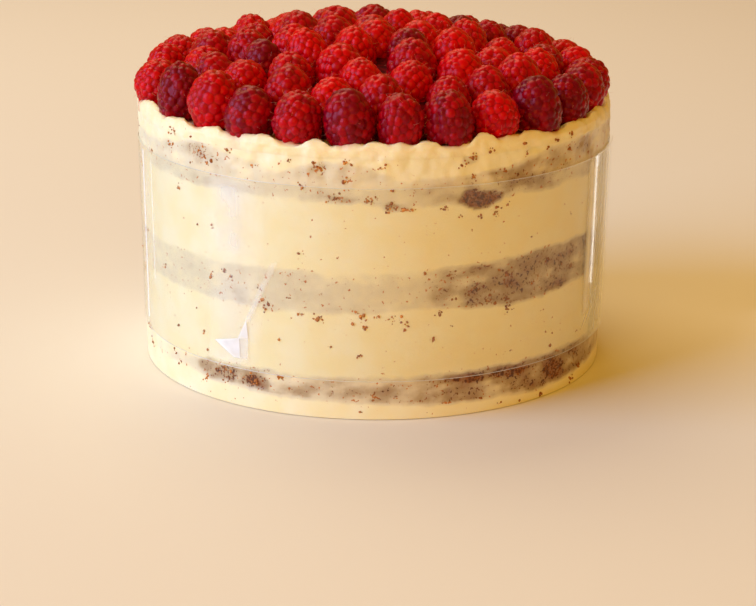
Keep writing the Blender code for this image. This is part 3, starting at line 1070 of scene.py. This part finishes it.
def drupelet_places(shape, draw):
    """Points spread over the outline, in a spiral that is then evened out; each with its size."""
    count = round(draw.uniform(*BEAD_COUNT))
    steps = np.arange(count) + 0.5
    level = 1 - steps / count * SPIRAL_SPAN
    turn = steps * math.pi * (3 - math.sqrt(5)) + [draw.uniform(-0.35, 0.35) for _ in steps]
    flat = np.sqrt(1 - level ** 2)
    points = np.column_stack((flat * np.cos(turn), flat * np.sin(turn), level))
    points = shape.onto(points * shape.radius + (0, 0, shape.widest))
    sizes = np.array([draw.uniform(0.82, 1.18) for _ in steps])
    pitch = BEAD_PITCH * 1.12 * (sizes[:, None] + sizes[None, :]) / 2
    for _ in range(SPREAD_ROUNDS):
        apart = points[:, None] - points[None, :]
        distance = np.linalg.norm(apart * (1, 1, UPRIGHT), axis=2) + np.eye(count)
        push = np.clip(pitch / distance - 1, 0, 1) * (1 - np.eye(count))
        points = points + 0.22 * (apart * push[:, :, None]).sum(axis=1)
        points[:, 2] = np.maximum(points[:, 2], LOWEST_BEAD)
        points = shape.onto(points)
    return points, shape.outward(points), sizes


# %% Model one berry
BEAD_SIZE = (0.00205, 0.00242, 0.00158)
BEAD_SINK = 0.00104
CORE_SHARE = 0.93
CORE_LIFT = 0.0005
VOXEL = 0.00026
BERRY_FACES = 9600


def put_bead(prototype, place, outward, size):
    """A copy of the bead at this place, with its short axis pointing out of the berry."""
    bead = bpy.data.objects.new("bead", prototype.data.copy())
    bpy.context.scene.collection.objects.link(bead)
    turn = outward.to_track_quat("Z", "Y").to_matrix().to_4x4()
    bead.data.transform(Matrix.Translation(place) @ turn @ Matrix.Diagonal((*size, 1)))
    return bead


def apply_modifier(piece, kind, **settings):
    made = piece.modifiers.new(kind.lower(), kind)
    for name, value in settings.items():
        setattr(made, name, value)
    deselect()
    piece.select_set(True)
    bpy.context.view_layer.objects.active = piece
    bpy.ops.object.modifier_apply(modifier=made.name)


def berry_core(shape):
    """A ball pulled onto the berry's outline, then shrunk until only the creases reach it."""
    deselect()
    bpy.ops.mesh.primitive_uv_sphere_add(segments=24, ring_count=16, radius=shape.radius)
    core = bpy.context.object
    points = shape.onto(points_of(core) + (0, 0, shape.widest))
    points[:, 2] = np.maximum(points[:, 2], 0.0)
    move_points(core, points * CORE_SHARE + (0, 0, CORE_LIFT))
    return core


def model_berry(number):
    """One kind of berry, with the middles of its drupelets and the ways that they face."""
    draw = random.Random(100 + number)
    shape = Shape(draw)
    core = berry_core(shape)
    deselect()
    bpy.ops.mesh.primitive_uv_sphere_add(segments=12, ring_count=8, radius=1)
    prototype = bpy.context.object
    wide, tall, deep = BEAD_SIZE
    beads, centres, outs = [], [], []
    for point, outward, grow in zip(*drupelet_places(shape, draw)):
        outward = Vector(outward)
        sink = BEAD_SINK * draw.uniform(0.85, 1.15)
        place = Vector(point) - outward * sink
        size = (wide * grow, tall * grow, deep * draw.uniform(0.94, 1.07))
        beads.append(put_bead(prototype, place, outward, size))
        centres.append(place)
        outs.append(outward)
    bpy.data.objects.remove(prototype)
    deselect()
    for bead in beads:
        bead.select_set(True)
    core.select_set(True)
    bpy.context.view_layer.objects.active = core
    bpy.ops.object.join()
    apply_modifier(core, "REMESH", mode="VOXEL", voxel_size=VOXEL)
    apply_modifier(core, "SMOOTH", factor=0.5, iterations=1)
    faces = sum(len(face.vertices) - 2 for face in core.data.polygons)
    apply_modifier(core, "DECIMATE", ratio=BERRY_FACES / faces)
    return core, shape, centres, outs


# %% Mark the drupelets and make every kind
CREASE_SHADE_WIDTH = 0.0008


def drupelet_marks(points, centres, draw):
    """For each point, a value of its own for its drupelet, and how near it is to a crease, where shade is
    painted.
    """
    tree = KDTree(len(centres))
    for index, centre in enumerate(centres):
        tree.insert(centre, index)
    tree.balance()
    own = [draw.random() for _ in centres]
    marks, painted_shading = [], []
    for point in points:
        (_, first, near), (_, _, far) = tree.find_n(Vector(point), 2)
        marks.append(own[first])
        # Near a crease the finish paints shade.
        painted_shading.append(1 - min((far - near) / CREASE_SHADE_WIDTH, 1))
    return {"drupelet": np.array(marks), "crease_shade": np.array(painted_shading)}


berry_kinds = []
hair_roots = []
for number in range(BERRY_KINDS):
    core, shape, centres, outs = model_berry(number)
    points, polygons, _ = taken_apart(core)
    marks = drupelet_marks(points, centres, random.Random(200 + number))
    berry_kinds.append(((points, polygons, marks), shape))
    hair_roots.append(list(zip(centres, outs)))
    print(f"kind {number}: {len(centres)} drupelets, {len(polygons)} faces")

# %% [markdown]
# ## Setting the berries out
# Each place in the rings gets one of the kinds, turned, leaned and scaled to its solid. All the berries
# of a kind are joined into one piece. Ripeness differs from berry to berry, from bright red to a dusky
# crimson, so each carries a ripeness of its own for the finish to read.

# %% Place a berry of some kind at every spot
BERRY_SWELL = 1.10
BERRY_STRETCH = 1.06
BERRY_SINK = 0.0012
BEAD_PROUD = 0.0005
FRONT_RIPENESS = (0.34, 0.80, 0.46, 0.74, 0.60, 0.78, 0.68, 0.72, 0.38, 0.84, 0.80, 0.66, 0.56)


def berry_matrix(berry, kind):
    """Scales one kind of berry to its solid, spins it, leans it and stands it where the solid does."""
    (points, _, _), shape = kind
    wide = berry.radius * BERRY_SWELL / (shape.radius + BEAD_PROUD)
    tall = berry.height * BERRY_STRETCH / (shape.height + BEAD_PROUD)
    heading, lean = berry.lean
    axis = (math.cos(heading), math.sin(heading), 0)
    middle = Matrix.Translation((0, 0, BERRY_WIDEST * berry.height))
    leaned = middle @ Matrix.Rotation(lean, 4, axis) @ middle.inverted()
    turned_shape = Matrix.Rotation(berry.spin, 4, "Z") @ Matrix.Diagonal((wide, wide, tall, 1))
    matrix = leaned @ turned_shape
    lowest = (points @ np.array(matrix.to_3x3()).T)[:, 2].min() + matrix.translation.z
    foot = top_plane + GAP + BERRY_LIFT + mound(berry.place.length) - BERRY_SINK
    return Matrix.Translation((*berry.place, foot - lowest)) @ matrix


set_out = [[] for _ in range(BERRY_KINDS)]
hair_places = []
ripe_draw = random.Random(41)
kind_order = [k % BERRY_KINDS for k in range(len(berries))]
ripe_draw.shuffle(kind_order)
ripeness = list(FRONT_RIPENESS)
ripeness += [0.12 + 0.80 * ripe_draw.betavariate(1.5, 3.0) for _ in berries[len(ripeness):]]
for berry, kind, ripe in zip(berries, kind_order, ripeness):
    matrix = berry_matrix(berry, berry_kinds[kind])
    set_out[kind].append((0, matrix, {"ripe": ripe}))
    for centre, outward in hair_roots[kind]:
        hair_places.append((matrix @ centre, (matrix.to_3x3() @ outward).normalized()))
for kind, placements in enumerate(set_out):
    piece = joined_copies(f"raspberries_{kind + 1}", [berry_kinds[kind][0]], placements)
    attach(piece, "root")
    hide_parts("raspberries")
    set_out[kind] = piece
print("berry faces:", sum(len(piece.data.polygons) for piece in set_out))

# %% [markdown]
# ## The berries below
# The berries in the middle lie on others, so the heap rises there. Those below never show, except as
# something deep red between the ones on top. A low mound, turned from a few points and made uneven,
# stands for them and keeps the cream from shining through the gaps. It is darker than any berry, as
# painted shade in the gaps.

# %% Turn the mound under the berries
BED_RADIUS = 0.0830
BED_HEIGHT = 0.0075
BED_SLOPE = 0.006


def bed_rise(radius):
    """The mound's height above its foot: steep at its rim, and level inside it but for the heap."""
    return BED_HEIGHT * min(1, (BED_RADIUS - radius) / BED_SLOPE + 0.3)


bed_foot = top_plane + GAP
bed_outline = [(0.0, bed_foot), (BED_RADIUS, bed_foot)]
for radius in np.linspace(BED_RADIUS, 0.0, 16):
    bed_outline.append((radius, bed_foot + bed_rise(radius) + mound(radius)))
bed = turned("berries_below", bed_outline, 120, open_edge=(0, len(bed_outline) - 1))
bed_points = points_of(bed)
raised = bed_points[:, 2] > top_plane + 2 * GAP
bed_points[:, 2] += raised * 0.0008 * lumps(bed_points, 0.006, 2, shift=13)
move_points(bed, bed_points)
bpy.ops.object.shade_smooth()
print("mound under the berries:", len(bed.data.polygons), "faces")

# %% [markdown]
# ## The finish of a raspberry
# Ripe drupelets are thin skins full of juice, deep red inside. The creases between them are darker as
# painted shade, where the drupelets shadow each other. Light that enters one comes out redder, so the
# shader scatters a little under the skin. The bloom on the skin is noise that varies the red and the
# roughness, so that some drupelets shine softly and others look dull. Plain highlights would look like
# plastic, so the shader's specular tint turns them pink.


# %% Red, dusky and bright by the stored values
def raspberry_finish():
    finish, shader, place = new_finish("raspberry_skin")
    ripe = place.attribute("ripe")
    own = place.attribute("drupelet")
    crease_shade = place.attribute("crease_shade")
    bloom = place.clouds(0.005, 3)
    tone = (ripe + 0.34 * own + 0.30 * bloom - 0.30).step(0.0, 1.0)
    bright = tone.mix(colour(214, 0, 6), colour(136, 0, 20))
    dusky = (ripe + 0.22 * own - 0.12).step(0.60, 1.0)
    skin = dusky.mix(bright, colour(106, 0, 22))
    feed(
        shader,
        # Painted shade: the creases are darker red where the drupelets meet.
        Base_Color=(crease_shade.step(0.2, 1.0) * 0.45).mix(skin, colour(84, 0, 6)),
        Roughness=0.20 + 0.20 * bloom,
        Normal=place.bump(place.clouds(0.0005, 2), 0.12, 0.0002),
        Subsurface_Weight=0.22,
        Subsurface_Radius=(1.0, 0.05, 0.06),
        Subsurface_Scale=0.0016,
        Specular_IOR_Level=0.34,
        Specular_Tint=(1.0, 0.36, 0.42, 1.0),
    )
    return finish


raspberry_skin = raspberry_finish()
for piece in set_out:
    piece.data.materials.append(raspberry_skin)
# The mound's dark red is painted shade between the berries on top.
bed_finish, bed_shader, bed_place = new_finish("berries_below_painted_shade")
feed(
    bed_shader,
    Base_Color=bed_place.clouds(0.004, 3).step(0.35, 0.65).mix(colour(74, 2, 10), colour(120, 6, 16)),
    Roughness=0.9,
    Specular_IOR_Level=0.1,
)
bed.data.materials.append(bed_finish)
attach(bed, "root")
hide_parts("raspberries")
print("raspberries finished")

# %% [markdown]
# ## The fine hairs
# Every drupelet keeps the dried thread of its flower, a golden hair two or three millimetres long. They
# are what gives raspberries their dusty glow against the light. Hair particles would be lost when the
# model is exported, so each hair is a thin three-sided cone, bent a little, and only some are kept.

# %% Make and plant the hairs
HAIR_LENGTH = 0.0024
HAIR_WIDTH = 0.00004
HAIR_SHARE = 0.30
HAIR_KINDS = 4
HAIR_JOINTS = (0.4, 0.7)


def bent_hairs(count):
    """Thin cones of length 1 along +Z, bent sideways by different amounts."""
    made = []
    for bend in np.linspace(0.15, 0.55, count):
        deselect()
        bpy.ops.mesh.primitive_cone_add(
            vertices=3, radius1=1, radius2=0.35, depth=1, location=(0, 0, 0.5)
        )
        bpy.ops.object.transform_apply(location=True)
        bpy.ops.object.mode_set(mode="EDIT")
        for joint in HAIR_JOINTS:
            bpy.ops.mesh.select_all(action="SELECT")
            bpy.ops.mesh.bisect(plane_co=(0, 0, joint), plane_no=(0, 0, 1))
        bpy.ops.object.mode_set(mode="OBJECT")
        points, polygons, carried = taken_apart(bpy.context.object)
        points[:, :2] *= HAIR_WIDTH / HAIR_LENGTH
        points[:, 0] += bend * points[:, 2] ** 2
        made.append((points, polygons, carried))
    return made


hair_draw = random.Random(5)
hair_placements = []
for root, outward in hair_places:
    if hair_draw.random() > HAIR_SHARE or root.z < top_plane + 0.002:
        continue
    lean = Vector([hair_draw.gauss(0, 0.55) for _ in range(3)])
    along = (outward + lean).normalized()
    spin = Matrix.Rotation(hair_draw.uniform(0, math.tau), 4, "Z")
    length = HAIR_LENGTH * hair_draw.uniform(0.8, 1.35)
    matrix = (
        Matrix.Translation(root + outward * 0.0010)
        @ along.to_track_quat("Z", "Y").to_matrix().to_4x4()
        @ spin
        @ Matrix.Scale(length, 4)
    )
    hair_placements.append((hair_draw.randrange(HAIR_KINDS), matrix, {}))
hairs = joined_copies("raspberry_hairs", bent_hairs(HAIR_KINDS), hair_placements)
hair_finish, hair_shader, _ = new_finish("golden_hair")
feed(hair_shader, Base_Color=colour(238, 158, 124), Roughness=0.5)
hairs.data.materials.append(hair_finish)
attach(hairs, "root")
print(len(hair_placements), "hairs,", len(hairs.data.polygons), "faces")

# %% [markdown]
# ## The clear collar
# A strip of clear film is wound once round the side and its ends overlap on the right, where the outer
# end lifts a little. A turned ring would close on itself, so this is a flat grid instead, wound up by a
# formula: the way along the grid becomes the azimuth, and a little slack lets the film stand off the
# cream unevenly. The Solidify modifier then gives it its thickness.

# %% Wind the film and lift its end
FILM_THICKNESS = 0.00016
FILM_SEAM = 66
FILM_OVERLAP = 20
FILM_LIFT_FROM = 25
FILM_SLACK = 0.00018
FILM_SLACK_END = 350
FILM_STEPS = 300
FILM_ROWS = 17

deselect()
bpy.ops.mesh.primitive_grid_add(x_subdivisions=FILM_STEPS, y_subdivisions=FILM_ROWS - 1, size=1)
film = bpy.context.object
film.name = film.data.name = "clear_film"
strip = points_of(film)
along = (strip[:, 0] + 0.5) * (360 + FILM_OVERLAP)
film_z = film_low + (strip[:, 1] + 0.5) * (film_high - film_low)
lift = np.clip((along - 360 + FILM_LIFT_FROM) / (FILM_LIFT_FROM + FILM_OVERLAP), 0, None)
spread = GAP + FILM_THICKNESS + lift ** 1.3 * (FILM_THICKNESS + 3.6 * GAP)
turn = np.radians(FILM_SEAM + along)
film_radius = side_radius(film_z) + spread
flat_place = np.column_stack((np.sin(turn), -np.cos(turn), film_z * 6))
slack = 0.5 + 0.5 * lumps(flat_place, 0.35, 2, shift=31)
film_radius = film_radius + FILM_SLACK * np.clip(slack, 0, 1) * (along < FILM_SLACK_END)
move_points(film, np.column_stack((film_radius * np.sin(turn), -film_radius * np.cos(turn), film_z)))
bpy.ops.object.mode_set(mode="EDIT")
bpy.ops.mesh.select_all(action="SELECT")
bpy.ops.mesh.normals_make_consistent(inside=False)
bpy.ops.object.mode_set(mode="OBJECT")
outward_sum = sum(face.normal.dot(face.center * Vector((1, 1, 0))) for face in film.data.polygons)
apply_modifier(film, "SOLIDIFY", thickness=FILM_THICKNESS, offset=-1 if outward_sum > 0 else 1)
bpy.ops.object.shade_smooth_by_angle(angle=math.radians(40))
print("clear film:", len(film.data.polygons), "faces")

# %% [markdown]
# ## The finish of the film
# Film bends light hardly at all, so true glass would only cost time. A mix of a transparent and a mirror
# shader does what film does: it lets light through head on and reflects more and more of it at a slant.
# The cut edges are brighter, because light travels to them inside the film. Bright streaks and a buckled
# facet, where the film mirrors a window, are painted highlights and painted reflections: there a white
# matt surface takes the mirror's place. A bump in upright streaks makes all that the film mirrors waver.


# %% Clear and mirroring film, with painted highlights and reflections
# Painted highlight streaks: azimuth, half width and lean in degrees, lower and upper end in mm, strength
FILM_PAINTED_HIGHLIGHTS = (
    (-34, 11.0, 0.0, 17, 97, 0.14), (-35, 5.5, 0.0, 64, 94, 0.16), (-30.6, 1.2, 0.28, 36, 65, 0.20),
    (-73, 0.8, 0.0, 20, 95, 0.35), (-66, 0.4, 0.0, 40, 95, 0.10), (62.6, 2.4, 0.0, 28, 97, 0.60),
    (66.5, 0.8, 0.0, 30, 92, 0.40), (69.4, 0.5, 0.0, 17, 97, 0.30), (72.5, 0.9, 0.0, 20, 96, 0.45),
    (75.5, 0.4, 0.0, 20, 96, 0.30), (63, 0.5, 0.5, 24, 40, 0.45), (60, 0.4, 0.5, 22, 36, 0.30),
    (150, 1.0, 0.0, 17, 97, 0.20), (-140, 0.7, 0.0, 17, 97, 0.16),
)
# Painted window reflections on flat facets: corners as azimuth in degrees and height in mm, going
# round to the left; strength
FILM_PAINTED_REFLECTIONS = (
    (((-39.7, 26.4), (-34.1, 21.0), (-32.4, 21.0), (-32.6, 29.4)), 0.80),
    (((-32.6, 29.4), (-32.4, 21.0), (-30.1, 20.8), (-30.1, 30.3)), 0.34),
    (((-32.9, 29.2), (-30.1, 30.3), (-30.5, 37.6)), 0.60),
)
EDGE_GLOW = (0.00008, 0.00034)
HIGHLIGHT_FADE = 3
REFLECTION_SOFT = (-0.35, 0.1)
# Millimetres along the film for one degree round the cake
FILM_DEGREE = 1.75


def film_finish():
    finish, shader, place = new_finish("clear_acetate")
    tree = finish.node_tree
    facing = place.make("ShaderNodeLayerWeight", inputs={"Blend": 0.5}, output=1)
    x, y, height = (
        place.make("ShaderNodeSeparateXYZ", inputs={"Vector": place}, output=k) for k in range(3)
    )
    azimuth = x.maths("ARCTAN2", x, y * -1)
    uneven = place.clouds(0.016, 2).step(0.30, 0.62)
    # The streaks and facets add up to painted highlights and painted reflections, drawn as white matt
    # film.
    painted_shading = height * 0
    for middle, half_width, lean, low, high, strength in FILM_PAINTED_HIGHLIGHTS:
        aside = azimuth - math.radians(middle) - (height - low * MM) * (math.radians(lean) / MM)
        across = 1 - aside.maths("ABSOLUTE", aside).step(0, math.radians(half_width))
        begun = height.step(low * MM, (low + HIGHLIGHT_FADE) * MM)
        ended = height.step((high - HIGHLIGHT_FADE) * MM, high * MM)
        painted_shading = painted_shading + across * (begun * (1 - ended)) * strength
    for corners, strength in FILM_PAINTED_REFLECTIONS:
        painted_reflection = height * 0 + strength
        for (u0, v0), (u1, v1) in zip(corners, corners[1:] + corners[:1]):
            du, dv = (u1 - u0) * FILM_DEGREE, v1 - v0
            length = math.hypot(du, dv)
            beside = azimuth * (math.degrees(-dv) * FILM_DEGREE / length)
            beside = beside + height * (du / MM / length)
            start = (-dv * u0 * FILM_DEGREE + du * v0) / length
            painted_reflection = painted_reflection * beside.step(*(start + soft for soft in REFLECTION_SOFT))
        painted_shading = painted_shading.maths("MAXIMUM", painted_shading, painted_reflection)
    from_low = height.maths("ABSOLUTE", height - film_low)
    from_high = height.maths("ABSOLUTE", height - film_high)
    edge = 1 - height.maths("MINIMUM", from_low, from_high).step(*EDGE_GLOW)
    shine = 0.03 + 0.88 * facing ** 4.5 + 0.55 * edge + painted_shading * (0.3 + 0.7 * uneven)
    # Where there is painted highlight, a white matt surface replaces the mirror.
    painted_white = painted_shading.step(0.0, 0.06)
    buckles = place.clouds(0.006, 3, (1, 1, 0.04))
    feed(
        shader,
        Base_Color=(1, 1, 1, 1),
        Metallic=1 - painted_white,
        Roughness=0.06 + 0.4 * edge,
        Normal=place.bump(buckles, 0.35, 0.0005),
    )
    clear = tree.nodes.new("ShaderNodeBsdfTransparent")
    clear.inputs["Color"].default_value = (0.985, 0.99, 0.985, 1)
    mixed = tree.nodes.new("ShaderNodeMixShader")
    tree.links.new(shine.socket, mixed.inputs[0])
    tree.links.new(clear.outputs[0], mixed.inputs[1])
    tree.links.new(shader.outputs[0], mixed.inputs[2])
    tree.links.new(mixed.outputs[0], tree.nodes["Material Output"].inputs["Surface"])
    return finish


film.data.materials.append(film_finish())
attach(film, "root")
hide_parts("film_collar")
print("clear film finished")
